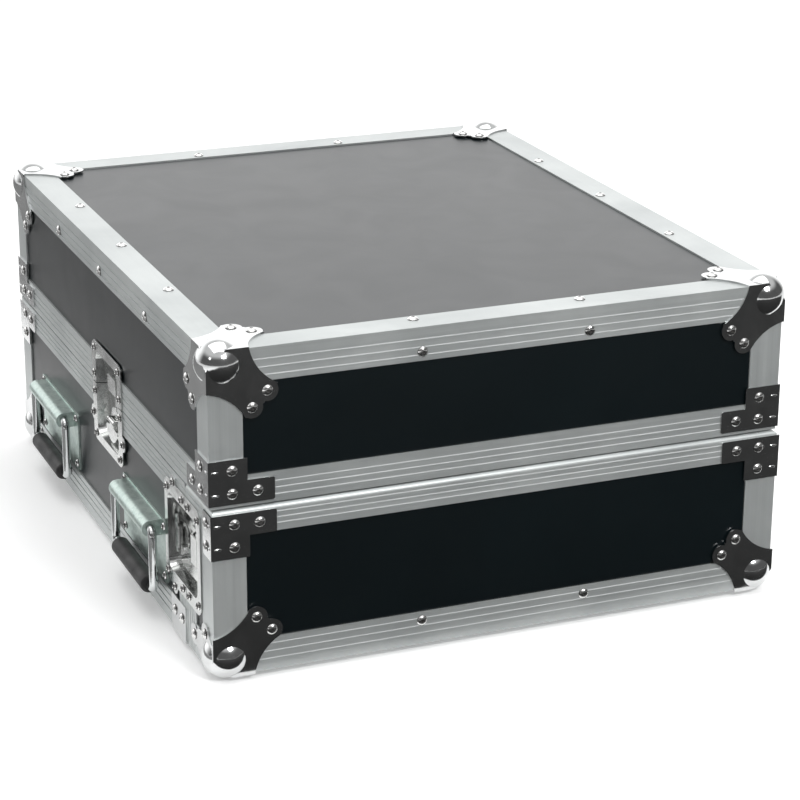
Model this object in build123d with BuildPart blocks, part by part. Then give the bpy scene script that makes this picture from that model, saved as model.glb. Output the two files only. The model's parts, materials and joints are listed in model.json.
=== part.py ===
from build123d import *
from math import cos, radians, sin
import os

os.makedirs("parts", exist_ok=True)

# A 19-inch mixer and rack flight case. The origin is under its middle, at the height of
# the lowest points of its ball corners. X runs across the front, -Y is the front, Z is up.

# ------------------------------------------------------------------ driving sizes, mm
BALL_PROUD = 6.5        # how far a ball corner stands out past the corner angles
HALF_W = 268            # half the width over the corner angles
BACK = 319              # rear face
LID_FRONT = -315        # front face of the lid
COVER_FRONT = -319      # front face of the removable front cover
SPLIT_Y = -247          # where the front cover meets the base
SPLIT_Z = 158           # where the lid meets the base
TOP = BALL_PROUD + 290  # top of the lid's angles
GAP = 1.0               # open joint between two shells

PANEL = 9.0             # laminated plywood
SHEET = 1.5             # aluminium profiles and pressed corners
ANGLE_LEG = 30.0
LID_FLANGE = 27.0       # outer flange of the lid's rim profile
BASE_FLANGE = 23.5
WEB = 7.0               # rim profile, open edge to panel edge
RIM_DEPTH = SHEET + PANEL + SHEET
RIM_INNER = 12.0        # inner flange of a rim profile
TONGUE_W = 5.0
TONGUE_H = 4.5
GROOVE_W = 6.0
GROOVE_D = 5.5
NOSE_R = 4.0            # rounded upper edge of the front cover
RIB_W = 1.2
RIB_D = 0.5
RIM_RIBS = (0.26, 0.48, 0.70)   # shares of a rim flange's height
MITRE_GAP = 0.1

BALL_R = 20.5
BALL_IN = BALL_R - BALL_PROUD   # ball centre, in from each face
LEG_ROOT = 36.0                 # a corner leg leaves the edge here
LOBES = ((51.5, 38.0), (38.0, 51.5))
CHEEK_LOBES = ((50.0, 20.0), (20.0, 33.0))
LOBE_R = 9.5

BRACE_GAP = 3.0
BRACE_ARM = 20.5
BRACE_TALL = 40.0
# each kind of brace leg: the arm's reach, the upright's width and the rivets' places
FULL_LEG = (57.0, 33.0, ((19.5, 9.5), (19.5, 30.0), (42.0, 10.0)))
PLAIN_LEG = (33.0, 33.0, ((19.5, 9.5), (19.5, 30.0)))
NARROW_LEG = (20.0, 20.0, ((11.5, 9.5), (11.5, 30.0)))

SHANK_R = 2.4
BIG_HEAD_R = 4.8
SMALL_HEAD_R = 3.6

LATCH_W = 97.0
DISH_L = 58.0
KEEPER_L = 42.0
LATCH_SHEET = 1.2
PAN_W = 74.0
PAN_DEPTH = SHEET + PANEL
PAN_TAPER = 12.0
DISH_PAN_L = 51.0
KEEPER_PAN_L = 34.0
ROTOR_T = -27.0         # the key's axis, back from the joint
MID_LATCH_Y = -9.0
FRONT_LATCH_Z = 97.5

HANDLE_YS = (("front", -119.0), ("rear", 175.0))
PIVOT_Z = 88.0
PIVOT_OUT = 10.5        # bail axis, out from the angles' faces
ROD_R = 4.0
BAIL_HALF = 60.0
BAIL_DROP = 56.0
BAIL_STUB = 46.0        # the bail's ends reach in to here
GRIP_L = 98.0
GRIP_R = 8.5
HOUSING_HALF = 53.0
HANDLE_W = 136.0
HANDLE_H = 59.0
HANDLE_UP = 9.0         # plate above the bail's axis
HOUSING_R = 7.5

RACK_UNIT = 44.45
UNIT_HOLES = (6.35, 22.225, 38.1)
RACK_HOLE_X = 465.1 / 2
RACK_HOLE_R = 3.0
RAIL_SHEET = 2.0
RAIL_INNER_X = 225.0
RAIL_SIDE = 30.0
FRONT_RAIL_Y = -232.5
FRONT_UNITS = 2
FRONT_UNIT_Z = 20.0
TOP_RAIL_Z = 144.0
TOP_UNITS = 10
TOP_UNIT_Y = -185.0
RAIL_MARGIN = 5.0

FOAM_T = 20.0

# ------------------------------------------------------------------ derived places
BOTTOM = BALL_PROUD
PANEL_X = HALF_W - SHEET            # outer face of a side panel
INNER_X = PANEL_X - PANEL
LID_EDGE = SPLIT_Z + GAP / 2
BASE_EDGE = SPLIT_Z - GAP / 2
FRAME_EDGE = SPLIT_Y + GAP / 2      # front edge of the base
COVER_EDGE = SPLIT_Y - GAP / 2      # rear edge of the front cover
UP, DOWN = Vector(0, 0, 1), Vector(0, 0, -1)
FORE, AFT = Vector(0, -1, 0), Vector(0, 1, 0)
SIDES = (("left", -1), ("right", 1))


# ------------------------------------------------------------------ shared helpers
def block(frame, x_span, y_span, z_span, mode=Mode.ADD):
    """Add or cut a box given by its limits along a frame's own axes."""
    with BuildSketch(frame.offset(z_span[0])) as section:
        with Locations(((x_span[0] + x_span[1]) / 2, (y_span[0] + y_span[1]) / 2)):
            Rectangle(x_span[1] - x_span[0], y_span[1] - y_span[0])
    extrude(section.sketch, amount=z_span[1] - z_span[0], mode=mode)


def wall_frame(side, y, z, up):
    """A frame on the outer face of a side wall: z outwards, y along the given direction."""
    outward = Vector(side, 0, 0)
    return Plane(origin=(side * HALF_W, y, z), x_dir=up.cross(outward), z_dir=outward)


def edge_on(frame):
    """The frame turned so that a sketch holds (along, outwards) and extrudes sideways."""
    return Plane(origin=frame.origin, x_dir=frame.y_dir, z_dir=frame.x_dir)


def drill(frames, radius=SHANK_R, depth=4.0):
    """Cut a rivet's hole below each frame."""
    with BuildSketch(*frames) as holes:
        Circle(radius)
    extrude(holes.sketch, amount=-depth, mode=Mode.SUBTRACT)


def save(builder, name):
    builder.part.label = name
    export_step(builder.part, f"parts/{name}.step")


# ------------------------------------------------------------------ aluminium profiles
def ribbed(length, ribs):
    """The outer line of a flange, from its edge to its tip, with a groove at each rib."""
    points = [(0, 0)]
    for at in ribs:
        points += [(0, at - RIB_W / 2), (RIB_D, at - RIB_W / 2),
                   (RIB_D, at + RIB_W / 2), (0, at + RIB_W / 2)]
    return points + [(0, length)]


def angle_outline(ribs):
    tips = [(SHEET, ANGLE_LEG), (SHEET, SHEET), (ANGLE_LEG, SHEET), (ANGLE_LEG, 0)]
    return ribbed(ANGLE_LEG, ribs) + tips


def rim_outline(flange, edge):
    """A profile that clasps a panel's open edge: a tongue, a groove or a rounded nose."""
    points = ribbed(flange, [flange * share for share in RIM_RIBS])
    if edge == "nose":
        turns = [radians(90 * step / 6) for step in range(6, -1, -1)]
        points[:1] = [(NOSE_R * (1 - cos(t)), NOSE_R * (1 - sin(t))) for t in turns]
    points += [(SHEET, flange), (SHEET, WEB), (SHEET + PANEL, WEB), (SHEET + PANEL, RIM_INNER),
               (RIM_DEPTH, RIM_INNER), (RIM_DEPTH, 0)]
    middle = RIM_DEPTH / 2
    if edge == "tongue":
        near, far = middle - TONGUE_W / 2, middle + TONGUE_W / 2
        points += [(far, 0), (far, -TONGUE_H), (near, -TONGUE_H), (near, 0)]
    if edge == "groove":
        near, far = middle - GROOVE_W / 2, middle + GROOVE_W / 2
        points += [(far, 0), (far, GROOVE_D), (near, GROOVE_D), (near, 0)]
    return points


RIBBED_ANGLE = angle_outline([10.5, 17.5, 24.5])
PLAIN_ANGLE = angle_outline([])


def edge_bar(outline, start, end, u_dir, v_dir, cuts, mitres):
    """A profile along an edge. cuts are the lengths taken off its two ends, and mitres
    say which section axes, if any, each end is mitred against."""
    a, b, cuts, mitres = Vector(*start), Vector(*end), list(cuts), list(mitres)
    if u_dir.cross(v_dir).dot(b - a) < 0:
        a, b = b, a
        cuts.reverse()
        mitres.reverse()
    along = (b - a).normalized()
    with BuildPart() as bar:
        with BuildSketch(Plane(origin=a + along * cuts[0], x_dir=u_dir, z_dir=along)):
            Polygon(*outline, align=None)
        extrude(amount=(b - a).length - sum(cuts))
        for corner, inward, axes in ((a, along, mitres[0]), (b, along * -1, mitres[1])):
            for leg in axes:
                turn = u_dir if leg == "u" else v_dir
                face = Plane(origin=corner + inward * MITRE_GAP, z_dir=inward - turn)
                split(bisect_by=face, keep=Keep.TOP)
    return bar.part


def inward(side):
    return Vector(-side, 0, 0)


# ------------------------------------------------------------------ corners
def leg_outline(lobes, root):
    """One leg of a corner piece, on a face. It leaves the ball, wraps both edges of the
    face, and necks down to two rounded lobes."""
    (a1, b1), (a2, b2) = lobes
    wrap, start = -SHEET, BALL_IN + 2
    tip1 = (a1 + 0.95 * LOBE_R, b1 - 0.6 * LOBE_R)
    tip2 = (a2 - 0.6 * LOBE_R, b2 + 0.95 * LOBE_R)
    neck1 = (root + 0.35 * (tip1[0] - root), 0.5 * b1)
    neck2 = (0.5 * a2, root + 0.35 * (tip2[1] - root))
    notch = ((a1 + a2) / 2 + 4, (b1 + b2) / 2 + 4)
    with BuildSketch(mode=Mode.PRIVATE) as leg:
        with BuildLine():
            Polyline((start, wrap), (root, wrap), (root, 0))
            ThreePointArc((root, 0), neck1, tip1)
            Polyline(tip1, (a1, b1), notch, (a2, b2), tip2)
            ThreePointArc(tip2, neck2, (0, root))
            Polyline((0, root), (wrap, root), (wrap, start), (start, wrap))
        make_face()
        with Locations(*lobes):
            Circle(LOBE_R)
    return leg.sketch


def corner_faces(corner, inward_dir):
    """The three outer faces that meet at a corner, each as (axis, frame)."""
    faces = []
    for axis in range(3):
        a_axis, b_axis = (axis + 1) % 3, (axis + 2) % 3
        out = [0, 0, 0]
        out[axis] = -inward_dir[axis]
        a_dir, b_dir = [0, 0, 0], [0, 0, 0]
        a_dir[a_axis] = inward_dir[a_axis]
        b_dir[b_axis] = inward_dir[b_axis]
        if Vector(*a_dir).cross(Vector(*b_dir)).dot(Vector(*out)) < 0:
            a_dir, b_dir = b_dir, a_dir
        faces.append((axis, a_dir, Plane(origin=corner, x_dir=a_dir, z_dir=out)))
    return faces


def face_lobes(axis, a_dir, cheek):
    """Where a leg's rivets are: a shallow cheek has its own, longer along Y."""
    if not cheek or axis == 1:
        return LOBES
    if a_dir[1]:
        return CHEEK_LOBES
    return tuple((b, a) for a, b in reversed(CHEEK_LOBES))


def ball_corner(corner, inward_dir, cheek=False):
    """A pressed corner: a dome over the case's corner, with a leg on each face."""
    centre = tuple(c + BALL_IN * i for c, i in zip(corner, inward_dir))
    frame = Plane(origin=corner, x_dir=(inward_dir[0], 0, 0), z_dir=(0, 0, inward_dir[2]))
    y_sign = 1 if frame.y_dir.Y * inward_dir[1] > 0 else -1
    with BuildPart() as piece:
        with Locations(centre):
            Sphere(BALL_R)
        for axis, a_dir, face in corner_faces(corner, inward_dir):
            lobes = face_lobes(axis, a_dir, cheek)
            root = LEG_ROOT if lobes is LOBES else 30.0
            with BuildSketch(face):
                add(leg_outline(lobes, root))
            extrude(amount=SHEET)
        with Locations(centre):
            Sphere(BALL_R - SHEET, mode=Mode.SUBTRACT)
        reach = (0, 80)
        beyond = (BALL_IN, 80)
        for spans in ((beyond, reach, reach), (reach, beyond, reach), (reach, reach, beyond)):
            y_span = sorted(y_sign * y for y in spans[1])
            block(frame, spans[0], y_span, spans[2], mode=Mode.SUBTRACT)
        drill(ball_rivets(corner, inward_dir, cheek))
    return piece.part


def ball_rivets(corner, inward_dir, cheek=False):
    """The seats of a ball corner's rivets, on the outer faces of its legs."""
    seats = []
    for axis, a_dir, face in corner_faces(corner, inward_dir):
        for a, b in face_lobes(axis, a_dir, cheek):
            seats.append(Plane(face.offset(SHEET).from_local_coords(Vector(a, b, 0)),
                               x_dir=face.x_dir, z_dir=face.z_dir))
    return seats


def brace_faces(corner, open_dir, legs, forms):
    """The faces beside an open corner: x along each face, y from the opening inwards."""
    faces = []
    for along, other, form in ((legs[0], legs[1], forms[0]), (legs[1], legs[0], forms[1])):
        face = Plane(origin=corner, x_dir=along, z_dir=other * -1)
        flip = 1 if face.y_dir.dot(open_dir) > 0 else -1
        faces.append((face, flip, form))
    return faces


def brace_corner(corner, open_dir, legs, forms):
    """A pressed brace that wraps an open edge's corner, with an L-shaped or plain leg
    on each face."""
    low, high = BRACE_GAP, BRACE_GAP + BRACE_TALL
    with BuildPart() as piece:
        for face, flip, (reach, wide, _) in brace_faces(corner, open_dir, legs, forms):
            step = [(reach, low + BRACE_ARM), (wide, low + BRACE_ARM)] if reach > wide else []
            outline = [(-SHEET, low), (reach, low), *step, (wide, high), (-SHEET, high)]
            with BuildSketch(face):
                with BuildLine():
                    Polyline(*[(a, flip * b) for a, b in outline], close=True)
                make_face()
                fillet(vertices().sort_by(Axis.X)[-2:], 2.0)
            extrude(amount=SHEET)
        drill(brace_rivets(corner, open_dir, legs, forms))
    return piece.part


def brace_rivets(corner, open_dir, legs, forms):
    seats = []
    for face, flip, (_, _, rivets) in brace_faces(corner, open_dir, legs, forms):
        for a, b in rivets:
            at = face.offset(SHEET).from_local_coords(Vector(a, flip * (BRACE_GAP + b), 0))
            seats.append(Plane(at, x_dir=face.x_dir, z_dir=face.z_dir))
    return seats


# ------------------------------------------------------------------ rivets
def make_rivet(head_r, depth):
    """A blind rivet: a domed head with its mandrel's dimple, and a shank below it."""
    with BuildPart() as rivet:
        with BuildSketch(Plane.XZ):
            with BuildLine():
                Polyline((0, 1.5), (0, -depth), (SHANK_R, -depth), (SHANK_R, 0),
                         (head_r, 0), (head_r, 0.5))
                ThreePointArc((head_r, 0.5), (0.72 * head_r, 1.75), (1.5, 2.3))
                Polyline((1.5, 2.3), (1.3, 1.5), (0, 1.5))
            make_face()
        revolve(axis=Axis.Z)
    return rivet.part


def rivet_group(*kinds):
    """Each kind is (seats, head radius, shank length)."""
    with BuildPart() as group:
        for seats, head_r, depth in kinds:
            rivet = make_rivet(head_r, depth)
            with Locations(*seats):
                add(rivet)
    return group


LEG_SHANK = 2 * SHEET
PLATE_SHANK = SHEET + LATCH_SHEET


def flange_seats(side_dir, at, up_dir, spots, along):
    """Seats in a row on a flange: at is the row's middle, along its direction."""
    return [Plane(origin=Vector(*at) + along * s, x_dir=up_dir, z_dir=side_dir)
            for s in spots]


ACROSS = (-78, 78)
ALONG = (-142, 4, 148)
HANDLE_FREE = (-20, 257)        # along the base's sides, clear of the handles
FLANGE_IN = 22.0


# ------------------------------------------------------------------ latches
def pan_plate(frame, length, pan_length):
    """A pressed plate with a recessed pan that is open towards the joint, at y = 0."""
    with BuildPart() as plate:
        with BuildSketch(frame):
            with Locations((0, -length / 2 + 20)):
                RectangleRounded(LATCH_W, length + 40, 10)
        extrude(amount=LATCH_SHEET)
        for inset, floor, mode in ((0, 0, Mode.ADD), (1, LATCH_SHEET, Mode.SUBTRACT)):
            width = PAN_W - 2 * inset * LATCH_SHEET
            reach = pan_length - inset * LATCH_SHEET
            with BuildSketch(frame.offset(LATCH_SHEET)):
                with Locations((0, -reach / 2 + 20)):
                    RectangleRounded(width, reach + 40, 9)
            extrude(amount=-(PAN_DEPTH + LATCH_SHEET - floor), taper=PAN_TAPER, mode=mode)
        joint = Plane(origin=frame.origin - frame.y_dir * (GAP / 2), z_dir=frame.y_dir * -1)
        split(bisect_by=joint, keep=Keep.TOP)
    return plate.part


def latch_pocket(frame, mode=Mode.SUBTRACT):
    """The hole that a latch's two pans need in the wall."""
    half = PAN_W / 2 + 0.4
    block(frame, (-half, half), (-DISH_PAN_L - 0.4, KEEPER_PAN_L + 0.4),
          (-PAN_DEPTH, 1.0), mode=mode)


HOOK_LOW = -9.2         # under face of the draw hook, below the wall's surface
HOOK_T = 1.5
HOOK_HALF = 13.0
NOSE_LOW = -5.0
HOOK_TRAVEL = 7.0
POST_R = 5.0
DISC_LOW = -7.2
DISC_T = 1.4
DISC_R = 13.0
PIN_OUT = -3.2
KNUCKLE_R = 2.3
PIN_R = 1.2
WING_T = 1.6
WING_HALF = 19.0
WING_L = 20.5
EAR_T = -33.0           # the dish's rivet ears, back from the joint
EAR_R = 7.5
RIVET_IN = 7.2          # rivets in from the plate's long edges


def dish(frame):
    """The latch's lower half, with a rivet ear on each side."""
    with BuildPart() as part:
        add(pan_plate(frame, DISH_L, DISH_PAN_L))
        with BuildSketch(frame):
            with Locations((-LATCH_W / 2, EAR_T), (LATCH_W / 2, EAR_T)):
                Circle(EAR_R)
            with Locations((0, -25)):
                Rectangle(PAN_W - 1, 48, mode=Mode.SUBTRACT)
        extrude(amount=LATCH_SHEET)
        drill(dish_seats(frame))
    return part.part


def local_seats(frame, spots, lift):
    top = frame.offset(lift)
    return [Plane(top.from_local_coords(Vector(x, y, 0)), x_dir=frame.x_dir,
                  z_dir=frame.z_dir) for x, y in spots]


def dish_seats(frame):
    near = LATCH_W / 2 - RIVET_IN
    spots = [(s * x, y) for s in (-1, 1)
             for x, y in ((near - 2, 7 - DISH_L), (near + 8, EAR_T), (near, -9))]
    return local_seats(frame, spots, LATCH_SHEET)


def keeper_seats(frame):
    near = LATCH_W / 2 - RIVET_IN
    spots = [(s * x, y) for s in (-1, 1) for x, y in ((near - 2, 7 - KEEPER_L), (near, -9))]
    return local_seats(turned(frame), spots, LATCH_SHEET)


def turned(frame):
    """The same frame with its y axis pointing the other way along the wall."""
    return Plane(origin=frame.origin, x_dir=frame.x_dir * -1, z_dir=frame.z_dir)


def keeper(frame):
    """The latch's upper half, with the raised bar that the hook bears on."""
    back = turned(frame)
    with BuildPart() as part:
        add(pan_plate(back, KEEPER_L, KEEPER_PAN_L))
        block(back, (-16, 16), (-13, -9), (-PAN_DEPTH + 0.6, NOSE_LOW - 0.4))
        drill(keeper_seats(frame))
    return part.part


def hook(frame):
    """The draw plate: slotted round the rotor's post, its nose raised over the bar."""
    side = edge_on(frame)
    top = HOOK_LOW + HOOK_T
    nose = NOSE_LOW + HOOK_T
    slot = POST_R + 0.3
    with BuildPart() as part:
        with BuildSketch(side.offset(-HOOK_HALF)):
            Polygon((-46, HOOK_LOW), (-3, HOOK_LOW), (1.5, NOSE_LOW), (17, NOSE_LOW),
                    (17, nose), (0.8, nose), (-3.7, top), (-46, top), align=None)
        extrude(amount=2 * HOOK_HALF)
        with BuildSketch(frame.offset(HOOK_LOW)):
            with Locations((0, ROTOR_T - HOOK_TRAVEL / 2)):
                SlotCenterToCenter(HOOK_TRAVEL, 2 * slot, rotation=90)
        extrude(amount=HOOK_T, mode=Mode.SUBTRACT)
    return part.part


def rotor(frame):
    """The cam's post and disc, with two ears that carry the wing's pin."""
    hub = Plane(frame.from_local_coords(Vector(0, ROTOR_T, 0)), x_dir=frame.x_dir,
                z_dir=frame.z_dir)
    side = edge_on(hub)
    with BuildPart() as part:
        with BuildSketch(hub.offset(-PAN_DEPTH + LATCH_SHEET + 0.1)):
            Circle(POST_R)
        extrude(amount=PAN_DEPTH - LATCH_SHEET + DISC_LOW)
        with BuildSketch(hub.offset(DISC_LOW)):
            Circle(DISC_R)
        extrude(amount=DISC_T)
        for low in (-10.0, 7.4):
            with BuildSketch(side.offset(low)):
                with Locations((0, PIN_OUT)):
                    Circle(2.6)
                with Locations((0, (PIN_OUT + DISC_LOW + DISC_T) / 2 - 0.2)):
                    Rectangle(5.2, PIN_OUT - DISC_LOW - DISC_T + 0.4)
            extrude(amount=2.6)
        with BuildSketch(side.offset(-8)):
            with Locations((0, PIN_OUT)):
                Circle(PIN_R)
        extrude(amount=16)
    return part.part


def wing(frame):
    """The folding butterfly wing, lying flat in the dish."""
    hub = Plane(frame.from_local_coords(Vector(0, ROTOR_T, PIN_OUT)), x_dir=frame.x_dir,
                z_dir=frame.z_dir)
    side = edge_on(hub)
    with BuildPart() as part:
        with BuildSketch(hub.offset(-WING_T / 2)):
            with BuildLine():
                Polyline((-6.6, 0), (-6.6, -5), (-WING_HALF, -7))
                ThreePointArc((-WING_HALF, -7), (0, -WING_L), (WING_HALF, -7))
                Polyline((WING_HALF, -7), (6.6, -5), (6.6, 0), (-6.6, 0))
            make_face()
            fillet(vertices().sort_by(Axis.X)[:1] + vertices().sort_by(Axis.X)[-1:], 2.5)
        extrude(amount=WING_T)
        with BuildSketch(side.offset(-6.6)):
            Circle(KNUCKLE_R)
        extrude(amount=13.2)
        with BuildSketch(side.offset(-7)):
            Circle(PIN_R + 0.05)
        extrude(amount=14, mode=Mode.SUBTRACT)
    return part.part


LATCHES = {}
for side_name, side in SIDES:
    LATCHES[f"mid_{side_name}"] = wall_frame(side, MID_LATCH_Y, SPLIT_Z, UP)
    LATCHES[f"front_{side_name}"] = wall_frame(side, SPLIT_Y, FRONT_LATCH_Z, FORE)


def cut_latches():
    """Cut every latch's pocket out of the part being built."""
    for frame in LATCHES.values():
        latch_pocket(frame)


# ------------------------------------------------------------------ handles
def handle_plate(frame):
    """The back plate, flush with the angles, and the housing that holds the bail."""
    with BuildPart() as part:
        with BuildSketch(frame.offset(-SHEET)):
            with Locations((0, HANDLE_UP - HANDLE_H / 2)):
                RectangleRounded(HANDLE_W, HANDLE_H, 4)
        extrude(amount=SHEET)
        with BuildSketch(edge_on(frame).offset(-HOUSING_HALF)):
            with Locations((0, PIVOT_OUT)):
                Circle(HOUSING_R)
            with Locations((0, PIVOT_OUT / 2)):
                Rectangle(2 * HOUSING_R, PIVOT_OUT)
            with Locations((0, PIVOT_OUT)):
                Circle(ROD_R + 0.1, mode=Mode.SUBTRACT)
        extrude(amount=2 * HOUSING_HALF)
        drill(handle_seats(frame))
    return part.part


def handle_seats(frame):
    across = HANDLE_W / 2 - 6
    rows = (HANDLE_UP - 5, HANDLE_UP - HANDLE_H + 7)
    return local_seats(frame, [(x, y) for x in (-across, across) for y in rows], 0)


def bail(frame):
    """The steel rod: two stubs in the housing, two legs and the run inside the grip."""
    middle = frame.offset(PIVOT_OUT)
    with BuildPart() as part:
        with BuildLine(middle) as path:
            FilletPolyline((-BAIL_STUB, 0), (-BAIL_HALF, 0), (-BAIL_HALF, -BAIL_DROP),
                           (BAIL_HALF, -BAIL_DROP), (BAIL_HALF, 0), (BAIL_STUB, 0), radius=6)
        with BuildSketch(Plane(origin=path.line @ 0, z_dir=path.line % 0)):
            Circle(ROD_R)
        sweep()
    return part.part


def grip(frame):
    """The rubber sleeve on the bail, its ends rounded over."""
    side = edge_on(frame.offset(PIVOT_OUT)).offset(-GRIP_L / 2)
    with BuildPart() as part:
        with BuildSketch(side):
            with Locations((-BAIL_DROP, 0)):
                Circle(GRIP_R)
        extrude(amount=GRIP_L)
        fillet(part.edges().filter_by(GeomType.CIRCLE), 3)
        with BuildSketch(side):
            with Locations((-BAIL_DROP, 0)):
                Circle(ROD_R + 0.1)
        extrude(amount=GRIP_L, mode=Mode.SUBTRACT)
    return part.part


HANDLES = {}
for side_name, side in SIDES:
    for place, y in HANDLE_YS:
        HANDLES[f"{side_name}_{place}"] = wall_frame(side, y, PIVOT_Z, UP)

# ------------------------------------------------------------------ corner places
LID_CORNERS = [((s * HALF_W, y, TOP), (-s, d, -1))
               for s in (-1, 1) for y, d in ((LID_FRONT, 1), (BACK, -1))]
BASE_CORNERS = [((s * HALF_W, BACK, BOTTOM), (-s, -1, 1)) for s in (-1, 1)]
COVER_CORNERS = [((s * HALF_W, COVER_FRONT, BOTTOM), (-s, 1, 1)) for s in (-1, 1)]


def brace_spots(y, z, open_dir, into, forms):
    """One brace on each side of the case, at an upright edge's open end."""
    return [((s * HALF_W, y, z), open_dir, (inward(s), into), forms) for s in (-1, 1)]


BOTH_FULL = (FULL_LEG, FULL_LEG)
LID_BRACES = brace_spots(LID_FRONT, LID_EDGE, UP, AFT, BOTH_FULL)
LID_BRACES += brace_spots(BACK, LID_EDGE, UP, FORE, BOTH_FULL)
COVER_BRACES = brace_spots(COVER_FRONT, BASE_EDGE, DOWN, AFT, (FULL_LEG, NARROW_LEG))
BASE_BRACES = brace_spots(BACK, BASE_EDGE, DOWN, FORE, BOTH_FULL)
BASE_BRACES += brace_spots(FRAME_EDGE, BOTTOM, AFT, UP, (FULL_LEG, PLAIN_LEG))

LID_MIDDLE = (LID_FRONT + BACK) / 2
side_seats = []
for s in (-1, 1):
    x = s * (HALF_W - FLANGE_IN)
    side_seats += flange_seats(UP, (x, LID_MIDDLE, TOP), FORE, ALONG, AFT)
    side_seats += flange_seats(Vector(s, 0, 0), (s * HALF_W, LID_MIDDLE, TOP - FLANGE_IN),
                               FORE, ALONG, AFT)
for y, out in ((LID_FRONT, FORE), (BACK, AFT)):
    side_seats += flange_seats(UP, (0, y - out.Y * FLANGE_IN, TOP), FORE, ACROSS, inward(1))
    side_seats += flange_seats(out, (0, y, TOP - FLANGE_IN), UP, ACROSS, inward(1))
LID_SEATS = side_seats

BASE_SEATS = flange_seats(AFT, (0, BACK, BOTTOM + FLANGE_IN), UP, ACROSS, inward(1))
BASE_SEATS += flange_seats(DOWN, (0, BACK - FLANGE_IN, BOTTOM), AFT, ACROSS, inward(1))
for s in (-1, 1):
    BASE_SEATS += flange_seats(Vector(s, 0, 0), (s * HALF_W, 0, BOTTOM + FLANGE_IN), UP,
                               HANDLE_FREE, AFT)
    BASE_SEATS += flange_seats(DOWN, (s * (HALF_W - FLANGE_IN), LID_MIDDLE, BOTTOM), AFT,
                               ALONG, AFT)
COVER_SEATS = flange_seats(FORE, (0, COVER_FRONT, BOTTOM + FLANGE_IN), UP, ACROSS, inward(1))
COVER_SEATS += flange_seats(DOWN, (0, COVER_FRONT + FLANGE_IN, BOTTOM), AFT, ACROSS,
                            inward(1))


def corner_seats(corners, cheek=False):
    return [seat for at, into in corners for seat in ball_rivets(at, into, cheek)]


def all_brace_seats(spots):
    return [seat for spot in spots for seat in brace_rivets(*spot)]


def clear_balls(corners):
    """Cut the hollow behind each ball corner out of the part being built."""
    for (x, y, z), (dx, dy, dz) in corners:
        spans = [sorted((c - 5 * d, c + BALL_IN * d)) for c, d in ((x, dx), (y, dy), (z, dz))]
        block(Plane.XY, *spans, mode=Mode.SUBTRACT)


# ------------------------------------------------------------------ panels
def panel(name, x_span, y_span, z_span, corners=(), latches=False):
    with BuildPart() as board:
        block(Plane.XY, x_span, y_span, z_span)
        clear_balls(corners)
        if latches:
            cut_latches()
    save(board, name)


def wall_x(side):
    """The X limits of a side wall's panel."""
    return sorted((side * PANEL_X, side * INNER_X))


lid_front_face, lid_back_face = LID_FRONT + SHEET, BACK - SHEET
lid_low, lid_high = LID_EDGE + WEB, TOP - SHEET - PANEL
panel("lid_top_panel", (-PANEL_X, PANEL_X), (lid_front_face, lid_back_face),
      (lid_high, TOP - SHEET), LID_CORNERS)
panel("lid_front_panel", (-INNER_X, INNER_X), (lid_front_face, lid_front_face + PANEL),
      (lid_low, lid_high), LID_CORNERS)
panel("lid_back_panel", (-INNER_X, INNER_X), (lid_back_face - PANEL, lid_back_face),
      (lid_low, lid_high), LID_CORNERS)

floor_low, floor_top = BOTTOM + SHEET, BOTTOM + SHEET + PANEL
base_top = BASE_EDGE - WEB
frame_back = FRAME_EDGE + WEB
panel("base_bottom_panel", (-PANEL_X, PANEL_X), (frame_back, lid_back_face),
      (floor_low, floor_top), BASE_CORNERS)
panel("base_back_panel", (-INNER_X, INNER_X), (lid_back_face - PANEL, lid_back_face),
      (floor_top, base_top), BASE_CORNERS)

cover_face, cover_inside = COVER_FRONT + SHEET, COVER_FRONT + SHEET + PANEL
cover_back = COVER_EDGE - WEB
panel("cover_front_panel", (-PANEL_X, PANEL_X), (cover_face, cover_inside),
      (floor_low, base_top), COVER_CORNERS)
panel("cover_bottom_panel", (-PANEL_X, PANEL_X), (cover_inside, cover_back),
      (floor_low, floor_top), COVER_CORNERS)

for side_name, side in SIDES:
    panel(f"lid_{side_name}_panel", wall_x(side), (lid_front_face, lid_back_face),
          (lid_low, lid_high), LID_CORNERS, latches=True)
    panel(f"base_{side_name}_panel", wall_x(side), (frame_back, lid_back_face),
          (floor_top, base_top), BASE_CORNERS, latches=True)
    panel(f"cover_{side_name}_cheek", wall_x(side), (cover_inside, cover_back),
          (floor_top, base_top), COVER_CORNERS, latches=True)


# ------------------------------------------------------------------ profiles
def profile_group(name, bars, seats=(), latches=False, trim_tops=None):
    with BuildPart() as group:
        add(bars)
        if latches:
            cut_latches()
        if seats:
            drill(seats)
        if trim_tops:
            trim_under_rim(trim_tops)
    save(group, name)


def trim_under_rim(y_span):
    """Cut the flanges of upright profiles back to those of the rim above them."""
    for side in (-1, 1):
        for near, far, low in ((HALF_W, PANEL_X, BASE_EDGE - BASE_FLANGE),
                               (INNER_X, HALF_W - RIM_DEPTH, BASE_EDGE - RIM_INNER)):
            block(Plane.XY, sorted((side * near, side * far)), y_span,
                  (low, BASE_EDGE), mode=Mode.SUBTRACT)


CUT = BALL_IN

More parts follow.
